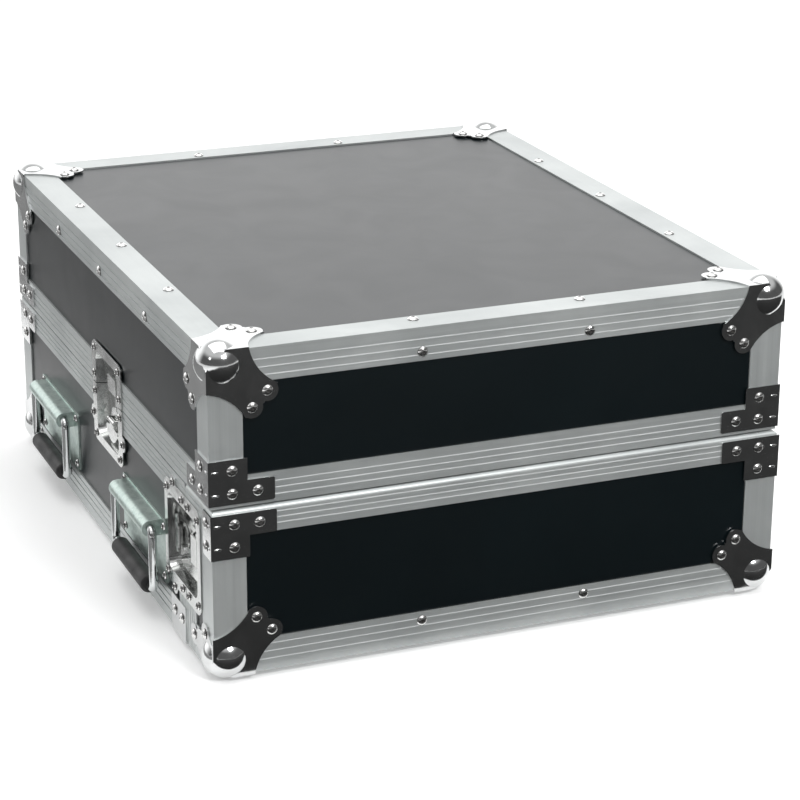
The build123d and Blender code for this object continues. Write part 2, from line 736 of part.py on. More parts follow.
lid_tops = []
lid_uprights = []
lid_rims = []
lid_rim = rim_outline(LID_FLANGE, "groove")
for y, into in ((LID_FRONT, AFT), (BACK, FORE)):
    ends = ((-HALF_W, y, TOP), (HALF_W, y, TOP))
    lid_tops.append(edge_bar(RIBBED_ANGLE, *ends, into, DOWN, (CUT, CUT), ("uv", "uv")))
    ends = ((-HALF_W, y, LID_EDGE), (HALF_W, y, LID_EDGE))
    lid_rims.append(edge_bar(lid_rim, *ends, into, UP, (0, 0), ("u", "u")))
for s in (-1, 1):
    x = s * HALF_W
    ends = ((x, LID_FRONT, TOP), (x, BACK, TOP))
    lid_tops.append(edge_bar(RIBBED_ANGLE, *ends, inward(s), DOWN, (CUT, CUT), ("uv", "uv")))
    ends = ((x, LID_FRONT, LID_EDGE), (x, BACK, LID_EDGE))
    lid_rims.append(edge_bar(lid_rim, *ends, inward(s), UP, (0, 0), ("u", "u")))
    for y, into in ((LID_FRONT, AFT), (BACK, FORE)):
        ends = ((x, y, LID_EDGE + LID_FLANGE), (x, y, TOP))
        lid_uprights.append(edge_bar(PLAIN_ANGLE, *ends, inward(s), into, (0, CUT),
                                     ("", "uv")))

MID_KEEPER_SEATS = [seat for name, frame in LATCHES.items() if "mid" in name
                    for seat in keeper_seats(frame)]
FRONT_KEEPER_SEATS = [seat for name, frame in LATCHES.items() if "front" in name
                      for seat in keeper_seats(frame)]
lid_drills = LID_SEATS + corner_seats(LID_CORNERS) + all_brace_seats(LID_BRACES)
lid_drills += MID_KEEPER_SEATS
profile_group("lid_top_angles", lid_tops, lid_drills)
profile_group("lid_corner_angles", lid_uprights, lid_drills)
profile_group("lid_rim_profiles", lid_rims, lid_drills, latches=True)

base_rims = []
base_frame = []
base_angles = []
tongue = rim_outline(BASE_FLANGE, "tongue")
ends = ((-HALF_W, BACK, BASE_EDGE), (HALF_W, BACK, BASE_EDGE))
base_rims.append(edge_bar(tongue, *ends, FORE, DOWN, (0, 0), ("u", "u")))
ends = ((-HALF_W, BACK, BOTTOM), (HALF_W, BACK, BOTTOM))
base_angles.append(edge_bar(RIBBED_ANGLE, *ends, FORE, UP, (CUT, CUT), ("uv", "uv")))
ends = ((-HALF_W, FRAME_EDGE, BOTTOM), (HALF_W, FRAME_EDGE, BOTTOM))
base_frame.append(edge_bar(tongue, *ends, UP, AFT, (0, 0), ("u", "u")))
for s in (-1, 1):
    x = s * HALF_W
    ends = ((x, FRAME_EDGE, BASE_EDGE), (x, BACK, BASE_EDGE))
    base_rims.append(edge_bar(tongue, *ends, inward(s), DOWN, (0, 0), ("", "u")))
    ends = ((x, FRAME_EDGE, BOTTOM), (x, FRAME_EDGE, base_top))
    base_frame.append(edge_bar(tongue, *ends, inward(s), AFT, (0, 0), ("u", "")))
    ends = ((x, FRAME_EDGE + BASE_FLANGE, BOTTOM), (x, BACK, BOTTOM))
    base_angles.append(edge_bar(RIBBED_ANGLE, *ends, inward(s), UP, (0, CUT), ("", "uv")))
    ends = ((x, BACK, BOTTOM), (x, BACK, BASE_EDGE - BASE_FLANGE))
    base_angles.append(edge_bar(PLAIN_ANGLE, *ends, inward(s), FORE, (CUT, 0), ("uv", "")))

DISH_SEATS = [seat for frame in LATCHES.values() for seat in dish_seats(frame)]
HANDLE_SEATS = [seat for frame in HANDLES.values() for seat in handle_seats(frame)]
base_drills = BASE_SEATS + corner_seats(BASE_CORNERS) + all_brace_seats(BASE_BRACES)
base_drills += DISH_SEATS
profile_group("base_edge_angles", base_angles, base_drills)
profile_group("base_rim_profiles", base_rims, base_drills, latches=True)
profile_group("base_front_frame", base_frame, base_drills, latches=True,
              trim_tops=(FRAME_EDGE, FRAME_EDGE + BASE_FLANGE))

cover_angles = []
cover_rims = []
nose = rim_outline(BASE_FLANGE, "nose")
groove = rim_outline(BASE_FLANGE, "groove")
ends = ((-HALF_W, COVER_FRONT, BOTTOM), (HALF_W, COVER_FRONT, BOTTOM))
cover_angles.append(edge_bar(RIBBED_ANGLE, *ends, AFT, UP, (CUT, CUT), ("uv", "uv")))
ends = ((-HALF_W, COVER_FRONT, BASE_EDGE), (HALF_W, COVER_FRONT, BASE_EDGE))
cover_rims.append(edge_bar(nose, *ends, AFT, DOWN, (0, 0), ("u", "u")))
ends = ((-HALF_W, COVER_EDGE, BOTTOM), (HALF_W, COVER_EDGE, BOTTOM))
cover_backs = [edge_bar(groove, *ends, UP, FORE, (0, 0), ("u", "u"))]
for s in (-1, 1):
    x = s * HALF_W
    ends = ((x, COVER_FRONT, BASE_EDGE), (x, COVER_EDGE, BASE_EDGE))
    cover_rims.append(edge_bar(nose, *ends, inward(s), DOWN, (0, 0), ("u", "")))
    ends = ((x, COVER_EDGE, BOTTOM), (x, COVER_EDGE, base_top))
    cover_backs.append(edge_bar(groove, *ends, inward(s), FORE, (0, 0), ("u", "")))
    ends = ((x, COVER_FRONT, BOTTOM), (x, COVER_EDGE - BASE_FLANGE, BOTTOM))
    cover_angles.append(edge_bar(PLAIN_ANGLE, *ends, inward(s), UP, (CUT, 0), ("uv", "")))
    ends = ((x, COVER_FRONT, BOTTOM), (x, COVER_FRONT, BASE_EDGE - BASE_FLANGE))
    cover_angles.append(edge_bar(PLAIN_ANGLE, *ends, inward(s), AFT, (CUT, 0), ("uv", "")))

cover_drills = COVER_SEATS + corner_seats(COVER_CORNERS, cheek=True)
cover_drills += all_brace_seats(COVER_BRACES)
cover_drills += FRONT_KEEPER_SEATS
profile_group("cover_edge_angles", cover_angles, cover_drills, latches=True)
profile_group("cover_top_rim", cover_rims, cover_drills, latches=True)
profile_group("cover_rear_rim", cover_backs, cover_drills, latches=True,
              trim_tops=(COVER_EDGE - BASE_FLANGE, COVER_EDGE))

# ------------------------------------------------------------------ corners and rivets
for name, corners, cheek in (("lid_ball_corners", LID_CORNERS, False),
                             ("base_ball_corners", BASE_CORNERS, False),
                             ("cover_ball_corners", COVER_CORNERS, True)):
    pieces = [ball_corner(at, into, cheek) for at, into in corners]
    with BuildPart() as balls:
        add(pieces)
    save(balls, name)

for name, spots in (("lid_brace_corners", LID_BRACES), ("base_brace_corners", BASE_BRACES),
                    ("cover_brace_corners", COVER_BRACES)):
    pieces = [brace_corner(*spot) for spot in spots]
    with BuildPart() as braces:
        add(pieces)
    save(braces, name)

save(rivet_group((LID_SEATS, BIG_HEAD_R, SHEET),
                 (corner_seats(LID_CORNERS), BIG_HEAD_R, LEG_SHANK),
                 (all_brace_seats(LID_BRACES), BIG_HEAD_R, LEG_SHANK),
                 (MID_KEEPER_SEATS, SMALL_HEAD_R, PLATE_SHANK)), "lid_rivets")
save(rivet_group((COVER_SEATS, BIG_HEAD_R, SHEET),
                 (corner_seats(COVER_CORNERS, True), BIG_HEAD_R, LEG_SHANK),
                 (all_brace_seats(COVER_BRACES), BIG_HEAD_R, LEG_SHANK),
                 (FRONT_KEEPER_SEATS, SMALL_HEAD_R, PLATE_SHANK)), "cover_rivets")


# ------------------------------------------------------------------ latches and handles
def group(name, pieces):
    with BuildPart() as parts_together:
        add(pieces)
    save(parts_together, name)


group("latch_dishes", [dish(frame) for frame in LATCHES.values()])
group("lid_keepers", [keeper(frame) for name, frame in LATCHES.items() if "mid" in name])
group("cover_keepers", [keeper(frame) for name, frame in LATCHES.items() if "front" in name])
for name, frame in LATCHES.items():
    group(f"latch_hook_{name}", [hook(frame)])
    group(f"latch_rotor_{name}", [rotor(frame)])
    group(f"latch_wing_{name}", [wing(frame)])

group("handle_plates", [handle_plate(frame) for frame in HANDLES.values()])
for name, frame in HANDLES.items():
    group(f"handle_bail_{name}", [bail(frame)])
    group(f"handle_grip_{name}", [grip(frame)])


# ------------------------------------------------------------------ rack rails
def rail(name, side, mount_span, run_span, level, facing, holes):
    """An angle on a side wall: its perforated leg faces the opening. facing is its
    normal, level its face's place along that normal, run_span its length."""
    run = Vector(0, 0, 1) if facing is FORE else AFT
    frame = Plane(origin=facing * level, x_dir=(side, 0, 0), z_dir=facing)
    flip = 1 if frame.y_dir.dot(run) > 0 else -1
    ends = sorted(flip * r for r in run_span)
    with BuildPart() as part:
        block(frame, mount_span, ends, (-RAIL_SHEET, 0))
        block(frame, (INNER_X - RAIL_SHEET, INNER_X), ends, (-RAIL_SIDE, 0))
        with BuildSketch(frame):
            with Locations(*[(RACK_HOLE_X, flip * hole) for hole in holes]):
                Circle(RACK_HOLE_R)
        extrude(amount=-RAIL_SHEET, mode=Mode.SUBTRACT)
        drill(rail_screws(side, level, facing, run_span), radius=2.0)
    save(part, name)


def rail_screws(side, level, facing, run_span):
    """The seats of a rail's screws, on the inner face of its side leg."""
    low, high = run_span
    count = 2 if facing is FORE else 4
    seats = []
    for i in range(count):
        at = low + (high - low) * (i + 0.5) / count
        run = Vector(0, 0, 1) if facing is FORE else AFT
        spot = facing * (level - RAIL_SIDE / 2 - 2) + run * at
        spot += Vector(side * (INNER_X - RAIL_SHEET), 0, 0)
        seats.append(Plane(origin=spot, x_dir=run, z_dir=(-side, 0, 0)))
    return seats


def unit_holes(start, units):
    return [start + unit * RACK_UNIT + hole for unit in range(units) for hole in UNIT_HOLES]


top_run = (TOP_UNIT_Y - RAIL_MARGIN, TOP_UNIT_Y + TOP_UNITS * RACK_UNIT + RAIL_MARGIN)
front_run = (floor_top + 1, FRONT_UNIT_Z + FRONT_UNITS * RACK_UNIT + 1)
screw_seats = []
for side_name, side in SIDES:
    rail(f"top_rail_{side_name}", side, (RAIL_INNER_X, INNER_X), top_run, TOP_RAIL_Z, UP,
         unit_holes(TOP_UNIT_Y, TOP_UNITS))
    rail(f"front_rail_{side_name}", side, (RAIL_INNER_X, INNER_X), front_run,
         -FRONT_RAIL_Y, FORE, unit_holes(FRONT_UNIT_Z, FRONT_UNITS))
    screw_seats += rail_screws(side, TOP_RAIL_Z, UP, top_run)
    screw_seats += rail_screws(side, -FRONT_RAIL_Y, FORE, front_run)


def make_screw():
    """A pan-head screw's head, its cross recess and the shank inside the rail."""
    with BuildPart() as screw:
        with BuildSketch():
            Circle(2.0)
        extrude(amount=-RAIL_SHEET)
        with BuildSketch():
            Circle(4.0)
        extrude(amount=2.2)
        fillet(screw.faces().sort_by(Axis.Z)[-1].edges(), 1.2)
        with BuildSketch(Plane.XY.offset(2.2)):
            Rectangle(4.0, 0.9)
            Rectangle(0.9, 4.0)
        extrude(amount=-1.2, mode=Mode.SUBTRACT)
    return screw.part


rivets = rivet_group((BASE_SEATS, BIG_HEAD_R, SHEET),
                     (corner_seats(BASE_CORNERS), BIG_HEAD_R, LEG_SHANK),
                     (all_brace_seats(BASE_BRACES), BIG_HEAD_R, LEG_SHANK),
                     (DISH_SEATS, SMALL_HEAD_R, PLATE_SHANK),
                     (HANDLE_SEATS, SMALL_HEAD_R, SHEET))
one_screw = make_screw()
with BuildPart() as base_fixings:
    add(rivets.part)
    with Locations(*screw_seats):
        add(one_screw)
save(base_fixings, "base_fixings")

# ------------------------------------------------------------------ lid foam
with BuildPart() as lid_foam:
    block(Plane.XY, (-INNER_X + 4, INNER_X - 4), (LID_FRONT + 16, BACK - 16),
          (lid_high - FOAM_T, lid_high))
    fillet(lid_foam.edges().filter_by(Axis.Z), 12)
    fillet(lid_foam.faces().sort_by(Axis.Z)[0].edges(), 4)
save(lid_foam, "lid_foam")
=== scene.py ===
"""The looks of a flight case for rack equipment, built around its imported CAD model.

Metres, +Z up, -Y is the front, and the floor is at z = 0.
"""

import json
from math import cos, pi, radians, sin

import bmesh
import bpy
from mathutils import Matrix, Vector


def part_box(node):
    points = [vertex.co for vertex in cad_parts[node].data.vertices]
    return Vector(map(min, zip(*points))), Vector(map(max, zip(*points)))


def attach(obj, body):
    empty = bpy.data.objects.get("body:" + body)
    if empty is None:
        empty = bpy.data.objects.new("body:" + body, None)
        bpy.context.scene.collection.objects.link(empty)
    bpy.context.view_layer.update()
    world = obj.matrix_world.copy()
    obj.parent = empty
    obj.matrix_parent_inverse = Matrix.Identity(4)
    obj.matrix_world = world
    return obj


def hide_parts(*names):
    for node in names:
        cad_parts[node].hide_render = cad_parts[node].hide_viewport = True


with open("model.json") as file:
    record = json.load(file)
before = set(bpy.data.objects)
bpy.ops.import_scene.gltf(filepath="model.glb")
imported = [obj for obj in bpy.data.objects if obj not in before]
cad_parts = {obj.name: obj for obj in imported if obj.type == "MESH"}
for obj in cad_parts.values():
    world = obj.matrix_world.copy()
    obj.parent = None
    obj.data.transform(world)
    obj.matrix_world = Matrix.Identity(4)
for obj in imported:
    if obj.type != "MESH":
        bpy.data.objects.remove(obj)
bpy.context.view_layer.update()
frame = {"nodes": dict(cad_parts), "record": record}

MM = 0.001
NODES = frame["nodes"]

# ---------------------------------------------------------------- node helpers
class Shader:
    """A small builder for a procedural material."""

    def __init__(self, name):
        self.material = bpy.data.materials.new(name)
        self.material.use_nodes = True
        self.tree = self.material.node_tree
        self.tree.nodes.clear()
        self.output = self.add("ShaderNodeOutputMaterial")
        self.surface = self.add("ShaderNodeBsdfPrincipled")
        self.link(self.surface.outputs["BSDF"], self.output.inputs["Surface"])
        self.place = self.add("ShaderNodeTexCoord").outputs["Object"]

    def add(self, kind):
        return self.tree.nodes.new(kind)

    def link(self, source, target):
        self.tree.links.new(source, target)

    def set(self, **values):
        """Set sockets of the surface shader, given by name with _ for a space."""
        for name, value in values.items():
            self.surface.inputs[name.replace("_", " ")].default_value = value

    def stretched(self, scale):
        """The object's own coordinates, scaled along each axis."""
        mapping = self.add("ShaderNodeMapping")
        mapping.inputs["Scale"].default_value = scale
        self.link(self.place, mapping.inputs["Vector"])
        return mapping.outputs["Vector"]

    def noise(self, scale, detail=4.0, roughness=0.55, stretch=(1, 1, 1), distortion=0.0):
        texture = self.add("ShaderNodeTexNoise")
        texture.inputs["Scale"].default_value = scale
        texture.inputs["Detail"].default_value = detail
        texture.inputs["Roughness"].default_value = roughness
        texture.inputs["Distortion"].default_value = distortion
        self.link(self.stretched(stretch), texture.inputs["Vector"])
        return texture.outputs["Fac"]

    def cells(self, scale, output="Distance"):
        texture = self.add("ShaderNodeTexVoronoi")
        texture.inputs["Scale"].default_value = scale
        self.link(self.place, texture.inputs["Vector"])
        return texture.outputs[output]

    def ramp(self, value, stops):
        """stops are (position, grey or colour)."""
        node = self.add("ShaderNodeValToRGB")
        points = node.color_ramp.elements
        while len(points) < len(stops):
            points.new(0.5)
        for point, (at, shade) in zip(points, stops):
            point.position = at
            colour = (shade,) * 3 if isinstance(shade, float) else shade
            point.color = (*colour, 1.0)
        self.link(value, node.inputs["Fac"])
        return node.outputs["Color"]

    def spread(self, value, low, high, start=0.3, end=0.7):
        """A texture's middle range mapped onto low to high."""
        node = self.add("ShaderNodeMapRange")
        node.inputs["From Min"].default_value = start
        node.inputs["From Max"].default_value = end
        node.inputs["To Min"].default_value = low
        node.inputs["To Max"].default_value = high
        self.link(value, node.inputs["Value"])
        return node.outputs["Result"]

    def sum(self, first, second, share):
        """first plus a share of second."""
        node = self.add("ShaderNodeMath")
        node.operation = "MULTIPLY_ADD"
        node.inputs[1].default_value = share
        self.link(second, node.inputs[0])
        self.link(first, node.inputs[2])
        return node.outputs["Value"]

    def colour(self, source):
        self.link(source, self.surface.inputs["Base Color"])

    def roughness(self, source):
        self.link(source, self.surface.inputs["Roughness"])

    def bump(self, height, strength, distance):
        node = self.add("ShaderNodeBump")
        node.inputs["Strength"].default_value = strength
        node.inputs["Distance"].default_value = distance
        self.link(height, node.inputs["Height"])
        self.link(node.outputs["Normal"], self.surface.inputs["Normal"])


# ---------------------------------------------------------------- materials
def laminate():
    """Black satin plastic laminate with a fine grain, handling marks and dust."""
    shader = Shader("laminate")
    cloud = shader.noise(5.0, detail=6.0, distortion=0.6)
    shader.colour(shader.ramp(cloud, [(0.25, (0.0004, 0.0035, 0.005)), (0.80, (0.0012, 0.006, 0.008))]))
    smudge = shader.noise(14.0, detail=5.0, distortion=1.2)
    grain = shader.noise(2600.0, detail=2.0)
    shader.roughness(shader.sum(shader.spread(smudge, 0.290, 0.325), grain, 0.06))
    shader.bump(grain, 0.25, 0.05 * MM)
    shader.set(IOR=1.55)
    return shader.material


def aluminium(run):
    """Anodised extrusion: drawing lines along its run (0, 1 or 2 for x, y or z)."""
    shader = Shader(f"aluminium_{'xyz'[run]}")
    along = tuple(0.012 if axis == run else 1.0 for axis in range(3))
    lines = shader.noise(1500.0, detail=3.0, stretch=along)
    bands = shader.noise(170.0, detail=4.0, stretch=along)
    cloud = shader.noise(9.0, detail=5.0, distortion=0.5)
    tone = shader.sum(shader.sum(cloud, bands, 0.45), lines, 0.25)
    shader.colour(shader.ramp(tone, [(0.55, (0.43, 0.455, 0.455)), (1.10, (0.57, 0.595, 0.59))]))
    shader.roughness(shader.spread(shader.sum(bands, lines, 0.6), 0.34, 0.50, start=0.5, end=1.1))
    shader.bump(shader.sum(bands, lines, 0.8), 0.30, 0.04 * MM)
    shader.set(Metallic=0.65)
    return shader.material


def painted_highlight_groove():
    """The floor of an extrusion's grooves, painted lighter than its drawn faces as a painted highlight
    line.
    """
    shader = Shader("aluminium_groove_painted_highlight")
    lines = shader.noise(1500.0, detail=3.0, stretch=(0.012, 1.0, 1.0))
    shader.colour(shader.ramp(lines, [(0.35, (0.70, 0.72, 0.72)), (0.65, (0.82, 0.84, 0.84))]))
    shader.roughness(shader.spread(lines, 0.38, 0.50))
    shader.bump(lines, 0.25, 0.04 * MM)
    shader.set(Metallic=0.25)
    return shader.material


def plated(name, tint, roughness, waviness=0.12):
    """Pressed and plated steel: slight waves, fine scratches and a cloudy gloss."""
    shader = Shader(name)
    waves = shader.noise(70.0, detail=3.0)
    scratch = shader.noise(900.0, detail=3.0, stretch=(1, 0.15, 0.4))
    cloud = shader.noise(45.0, detail=6.0, distortion=0.8)
    dark = tuple(0.82 * channel for channel in tint)
    shader.colour(shader.ramp(cloud, [(0.30, dark), (0.70, tint)]))
    low, high = roughness
    shader.roughness(shader.spread(shader.sum(cloud, scratch, 0.35), low, high, 0.45, 0.90))
    shader.bump(shader.sum(waves, scratch, 0.06), waviness, 0.6 * MM)
    shader.set(Metallic=1.0)
    return shader.material


def handle_zinc():
    """Clear passivated zinc: a mottled, faintly green crystalline skin."""
    shader = Shader("handle_zinc")
    flakes = shader.cells(420.0, output="Color")
    cloud = shader.noise(60.0, detail=6.0, distortion=1.0)
    grey = shader.add("ShaderNodeRGBToBW")
    shader.link(flakes, grey.inputs["Color"])
    mottle = shader.sum(cloud, grey.outputs["Val"], 0.35)
    shader.colour(shader.ramp(mottle, [(0.35, (0.36, 0.46, 0.43)), (0.85, (0.62, 0.71, 0.67))]))
    shader.roughness(shader.spread(mottle, 0.28, 0.46, 0.35, 0.9))
    shader.bump(mottle, 0.20, 0.12 * MM)
    shader.set(Metallic=0.92)
    return shader.material


def rubber():
    """Matt black moulded rubber with a stipple and rubbed patches."""
    shader = Shader("grip_rubber")
    stipple = shader.cells(1300.0)
    worn = shader.noise(55.0, detail=5.0)
    shader.colour(shader.ramp(worn, [(0.35, (0.010, 0.010, 0.011)), (0.75, (0.024, 0.023, 0.023))]))
    shader.roughness(shader.spread(worn, 0.62, 0.48))
    shader.bump(stipple, 0.55, 0.18 * MM)
    shader.set(IOR=1.48)
    return shader.material


def powder_coat():
    """Black powder coat with its orange peel."""
    shader = Shader("rail_steel")
    peel = shader.noise(900.0, detail=2.0)
    cloud = shader.noise(40.0, detail=4.0)
    shader.colour(shader.ramp(cloud, [(0.3, (0.016, 0.016, 0.017)), (0.7, (0.028, 0.028, 0.030))]))
    shader.roughness(shader.spread(cloud, 0.38, 0.52))
    shader.bump(peel, 0.40, 0.10 * MM)
    return shader.material


def foam():
    """Open-cell polyurethane foam."""
    shader = Shader("foam")
    pores = shader.cells(950.0)
    cloud = shader.noise(30.0, detail=6.0)
    tone = shader.sum(cloud, pores, 0.5)
    shader.colour(shader.ramp(tone, [(0.35, (0.020, 0.020, 0.022)), (0.95, (0.060, 0.060, 0.064))]))
    shader.roughness(shader.spread(cloud, 0.88, 0.97))
    shader.bump(pores, 0.80, 0.50 * MM)
    shader.set(Sheen_Weight=0.15)
    return shader.material


def rivet_socket_painted_shade():
    """The mandrel stub at the bottom of a rivet's dimple, with the dimple's shade painted into its dark
    colour.
    """
    shader = Shader("rivet_socket_painted_shade")
    grit = shader.noise(1800.0, detail=3.0)
    shader.colour(shader.ramp(grit, [(0.35, (0.03, 0.03, 0.03)), (0.70, (0.12, 0.115, 0.11))]))
    shader.roughness(shader.spread(grit, 0.45, 0.70))
    shader.bump(grit, 0.50, 0.15 * MM)
    shader.set(Metallic=0.8)
    return shader.material


ALUMINIUM = [aluminium(run) for run in range(3)]
# painted highlight: the front bars' groove floors, lighter than the drawn faces
GROOVE_PAINTED_HIGHLIGHT = painted_highlight_groove()
# painted shade for the floor of each rivet's dimple, over its mandrel stub
SOCKET_PAINTED_SHADE = rivet_socket_painted_shade()
FINISH = {
    "laminate": laminate(),
    "chrome_steel": plated("chrome_steel", (0.74, 0.75, 0.75), (0.07, 0.16)),
    "rivet_steel": plated("rivet_steel", (0.86, 0.86, 0.85), (0.16, 0.26)),
    "latch_steel": plated("latch_steel", (0.76, 0.77, 0.76), (0.12, 0.24), waviness=0.2),
    "handle_zinc": handle_zinc(),
    "rod_steel": plated("rod_steel", (0.74, 0.76, 0.76), (0.08, 0.18)),
    "grip_rubber": rubber(),
    "rail_steel": powder_coat(),
    "foam": foam(),
}


# ---------------------------------------------------------------- the CAD nodes
def islands(mesh):
    """A mesh's faces, grouped by the separate solid that they belong to."""
    keys = {}
    ids = [keys.setdefault(tuple(round(c, 6) for c in v.co), len(keys)) for v in mesh.vertices]
    parent = list(range(len(keys)))

    def root(item):
        while parent[item] != item:
            parent[item] = parent[parent[item]]
            item = parent[item]
        return item

    for face in mesh.polygons:
        first = root(ids[face.vertices[0]])
        for vertex in face.vertices[1:]:
            parent[root(ids[vertex])] = first
    groups = {}
    for face in mesh.polygons:
        groups.setdefault(root(ids[face.vertices[0]]), []).append(face)
    return list(groups.values())


def use(obj, *materials):
    """Give an object these materials in place of its own."""
    obj.data.materials.clear()
    for material in materials:
        obj.data.materials.append(material)


GROOVE_DEPTH = 0.5 * MM
GROOVE_SLACK = 0.05 * MM
SQUARE_ON = 0.999   # the least part along an axis of a normal that counts as square to it


def in_groove(face, front, back):
    """Whether a face is the floor of a groove, one groove's depth behind its bar's outer face."""
    if abs(face.normal.y) < SQUARE_ON:
        return False
    depth = face.center.y - front if face.normal.y < 0 else back - face.center.y
    return abs(depth - GROOVE_DEPTH) < GROOVE_SLACK


def finish_bars(obj):
    """Each bar's drawing lines follow its own length, and the groove floors across the front carry a
    painted highlight.
    """
    use(obj, *ALUMINIUM, GROOVE_PAINTED_HIGHLIGHT)
    vertices = obj.data.vertices
    for faces in islands(obj.data):
        points = [vertices[i].co for face in faces for i in face.vertices]
        spans = [max(p[a] for p in points) - min(p[a] for p in points) for a in range(3)]
        run = spans.index(max(spans))
        front, back = min(p.y for p in points), max(p.y for p in points)
        for face in faces:
            # the groove floors of bars along x get the painted highlight
            painted_highlight = run == 0 and in_groove(face, front, back)
            face.material_index = len(ALUMINIUM) if painted_highlight else run


SOCKET_R = 1.35 * MM


def finish_rivets(obj):
    """Paint shade onto the floor of each rivet's dimple."""
    use(obj, FINISH["rivet_steel"], SOCKET_PAINTED_SHADE)
    vertices = obj.data.vertices
    for faces in islands(obj.data):
        used = {i for face in faces for i in face.vertices}
        middle = sum((vertices[i].co for i in used), Vector()) / len(used)
        for face in faces:
            off = face.center - middle
            flat = off - face.normal * off.dot(face.normal)
            # faces at the middle of the dimple get the painted shade
            face.material_index = int(flat.length < SOCKET_R and off.dot(face.normal) > 0)


for part in frame["record"]["subparts"]:
    node = NODES[part["node"]]
    if part["material_slot"] == "aluminium":
        finish_bars(node)
    elif part["material_slot"] == "rivet_steel":
        finish_rivets(node)
    else:
        use(node, FINISH[part["material_slot"]])


EDGE_ROUND = {
    "lid_brace_corners": 0.45 * MM,
    "base_brace_corners": 0.45 * MM,
    "cover_brace_corners": 0.45 * MM,
    "lid_keepers": 0.35 * MM,
    "cover_keepers": 0.35 * MM,
    "latch_dishes": 0.35 * MM,
}


WELD_GAP = 0.005 * MM
SHARP_BEND = radians(40)


def round_edges(obj, width):
    """Take the sharp arris off a pressed part, as the press leaves it."""
    weld = obj.modifiers.new("weld", "WELD")
    weld.merge_threshold = WELD_GAP
    bevel = obj.modifiers.new("round", "BEVEL")
    bevel.width = width
    bevel.segments = 2
    bevel.limit_method = "ANGLE"
    bevel.angle_limit = SHARP_BEND
    normals = obj.modifiers.new("normals", "WEIGHTED_NORMAL")
    normals.weight = 100


for name, width in EDGE_ROUND.items():
    round_edges(NODES[name], width)


# ---------------------------------------------------------------- new pieces
def mesh_piece(name, bm, body, slot_name):
    """A smooth-shaded object from a bmesh, riding on a body, in the finish of its slot."""
    bmesh.ops.recalc_face_normals(bm, faces=bm.faces)
    mesh = bpy.data.meshes.new(name)
    bm.to_mesh(mesh)
    bm.free()
    for face in mesh.polygons:
        face.use_smooth = True
    obj = bpy.data.objects.new(name, mesh)
    bpy.context.scene.collection.objects.link(obj)
    use(obj, FINISH[slot_name])
    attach(obj, body)
    return obj


FOAM_STEP = 5 * MM
FOAM_PITCH = 26 * MM
FOAM_WAVE = 4.5 * MM
FOAM_RIM = 14 * MM      # how wide the rounded rim is
FOAM_ROLL = 9 * MM      # how far the rim pulls back
FOAM_BACKING = 2 * MM   # the least foam left over its back


def lid_foam():
    """The profiled foam under the lid's top: rows of soft peaks with a rounded rim."""
    low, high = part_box("lid_foam")
    columns = round((high.x - low.x) / FOAM_STEP)
    rows = round((high.y - low.y) / FOAM_STEP)

    def depth(x, y):
        """How far the foam's face stands above its lowest level."""
        wave = FOAM_WAVE * (1 - cos(2 * pi * x / FOAM_PITCH) * cos(2 * pi * y / FOAM_PITCH))
        edge = min(x - low.x, high.x - x, y - low.y, high.y - y)
        roll = max(0.0, 1 - edge / FOAM_RIM)
        return min(wave + FOAM_ROLL * roll * roll, high.z - low.z - FOAM_BACKING)

    bm = bmesh.new()
    faces_down = []
    faces_up = []
    for j in range(rows + 1):
        y = low.y + (high.y - low.y) * j / rows
        xs = [low.x + (high.x - low.x) * i / columns for i in range(columns + 1)]
        faces_down.append([bm.verts.new((x, y, low.z + depth(x, y))) for x in xs])
        faces_up.append([bm.verts.new((x, y, high.z)) for x in xs])
    for sheet in (faces_down, faces_up):
        for j in range(rows):
            for i in range(columns):
                bm.faces.new((sheet[j][i], sheet[j][i + 1], sheet[j + 1][i + 1], sheet[j + 1][i]))
    rings = []
    for sheet in (faces_down, faces_up):
        ring = sheet[0][:-1] + [row[-1] for row in sheet[:-1]]
        ring += sheet[-1][:0:-1] + [row[0] for row in sheet[:0:-1]]
        rings.append(ring)
    count = len(rings[0])
    for i in range(count):
        j = (i + 1) % count
        bm.faces.new((rings[0][i], rings[0][j], rings[1][j], rings[1][i]))
    piece = mesh_piece("lid_foam_profiled", bm, "lid", "foam")
    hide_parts("lid_foam")


lid_foam()


GUSSET_L = 7.0 * MM
GUSSET_W = 2.2 * MM
GUSSET_H = 0.7 * MM
GUSSET_START = 1.5 * MM               # from the inside of the bend
GUSSET_RISEN = 0.18                   # how far into its swell the ridge is at the bend
GUSSET_FULLNESS = 0.6                 # below 1, the swell is blunter than a sine
GUSSET_ROWS = 9
GUSSET_FACETS = 8
GUSSET_WELD = 0.01 * MM
BRACE_T = 1.5 * MM
GUSSET_HEIGHTS = (9.5 * MM, 30.0 * MM)   # from the rim, as the brace's rivets


def gusset(bm, start, along, across, out):
    """One pressed ridge: a lens-shaped swelling that leaves the bend and fades away."""
    rings = []
    for i in range(GUSSET_ROWS + 1):
        t = i / GUSSET_ROWS
        phase = GUSSET_RISEN + (1 - GUSSET_RISEN) * t
        swell = sin(pi * phase) ** GUSSET_FULLNESS if t < 1 else 0.0
        middle = start + along * (GUSSET_L * t)
        ring = []
        for j in range(GUSSET_FACETS + 1):
            turn = pi * j / GUSSET_FACETS
            side = across * (cos(turn) * swell * GUSSET_W / 2)
            ring.append(bm.verts.new(middle + side + out * (sin(turn) * swell * GUSSET_H)))
        rings.append(ring)
    for low, high in zip(rings, rings[1:]):
        for j in range(GUSSET_FACETS):
            bm.faces.new((low[j], low[j + 1], high[j + 1], high[j]))
        bm.faces.new((low[-1], low[0], high[0], high[-1]))
    bm.faces.new(rings[0])
    bmesh.ops.remove_doubles(bm, verts=bm.verts, dist=GUSSET_WELD)


